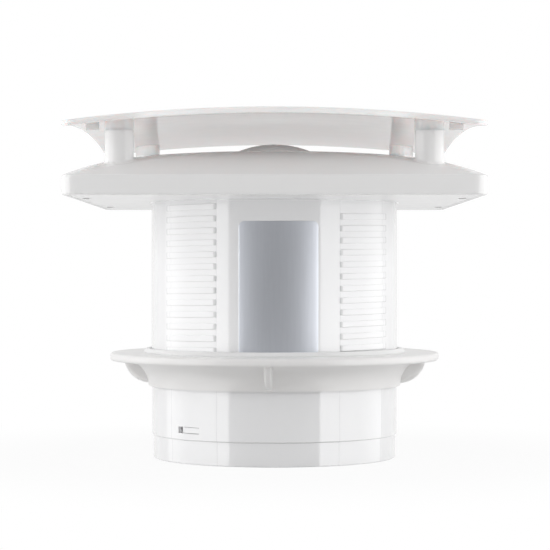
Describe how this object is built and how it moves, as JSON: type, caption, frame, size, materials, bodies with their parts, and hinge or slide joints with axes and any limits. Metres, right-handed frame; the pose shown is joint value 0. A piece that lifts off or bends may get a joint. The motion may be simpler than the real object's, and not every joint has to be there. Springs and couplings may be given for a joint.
{
  "type": "exhaust fan",
  "caption": "Through-wall exhaust fan: arched front panel on a domed cover, duct tube with an interrupted thread, and a screw-on ring that clamps the wall or pane.",
  "frame": {"origin": "centre of the outlet's end face, on which the fan stands in the picture", "axes": "+Z along the duct from the outlet to the front panel, the label faces -Y, +X to the right"},
  "size_m": [0.151, 0.196, 0.1361],
  "materials": {
    "white_plastic": "glossy white moulded plastic",
    "washer_plastic": "white low-friction plastic",
    "flap_plastic": "thin white plastic",
    "label_film": "blank silvery film",
    "bright_steel": "bright steel",
    "plated_can": "zinc-plated sheet steel",
    "core_steel": "stacked electrical steel",
    "winding_copper": "varnished copper wire",
    "bearing_bronze": "sintered bronze",
    "terminal_plastic": "white terminal plastic",
    "grommet_rubber": "black rubber",
    "live_sleeve": "brown insulation",
    "neutral_sleeve": "blue insulation"
  },
  "bodies": {
    "housing": {"duct_housing": "white_plastic", "back_plate": "white_plastic", "front_cover": "white_plastic", "front_panel": "white_plastic", "outlet_sleeve": "white_plastic", "motor_carrier": "white_plastic", "rating_label": "label_film", "flap_pin": "bright_steel", "flap_spring": "bright_steel", "motor_screws": "bright_steel", "terminal_screws": "bright_steel", "motor_can": "plated_can", "motor_end_cap": "plated_can", "stator_core": "core_steel", "stator_coil_front": "winding_copper", "stator_coil_rear": "winding_copper", "front_bearing": "bearing_bronze", "rear_bearing": "bearing_bronze", "terminal_block": "terminal_plastic", "cable_grommet": "grommet_rubber", "live_lead": "live_sleeve", "neutral_lead": "neutral_sleeve"},
    "impeller": {"impeller": "white_plastic", "impeller_nut": "bright_steel", "motor_shaft": "bright_steel", "rotor_core": "core_steel"},
    "clamp_washer": {"clamp_washer": "washer_plastic"},
    "clamp_ring": {"clamp_ring": "white_plastic"},
    "flap_left": {"flap_left": "flap_plastic"},
    "flap_right": {"flap_right": "flap_plastic"}
  },
  "joints": [
    {"name": "impeller_spin", "type": "hinge", "parent": "housing", "child": "impeller", "pos_m": [0, 0, 0.07], "axis": [0, 0, 1], "continuous": true},
    {"name": "washer_travel", "type": "slide", "parent": "housing", "child": "clamp_washer", "axis": [0, 0, 1], "range_m": [0, 0.055]},
    {"name": "ring_turn", "type": "hinge", "parent": "clamp_washer", "child": "clamp_ring", "pos_m": [0, 0, 0.04], "axis": [0, 0, 1], "range_deg": [0, 4351.6]},
    {"name": "flap_left_swing", "type": "hinge", "parent": "housing", "child": "flap_left", "pos_m": [0, 0, 0.0475], "axis": [0, -1, 0], "range_deg": [0, 75], "stiffness_Nm_per_rad": 0.004, "springref_deg": -14.32},
    {"name": "flap_right_swing", "type": "hinge", "parent": "housing", "child": "flap_right", "pos_m": [0, 0, 0.0475], "axis": [0, 1, 0], "range_deg": [0, 75], "stiffness_Nm_per_rad": 0.004, "springref_deg": -14.32}
  ],
  "couplings": [
    {"joint": "ring_turn", "follows": "washer_travel", "rad_per_m": 1380.9}
  ]
}
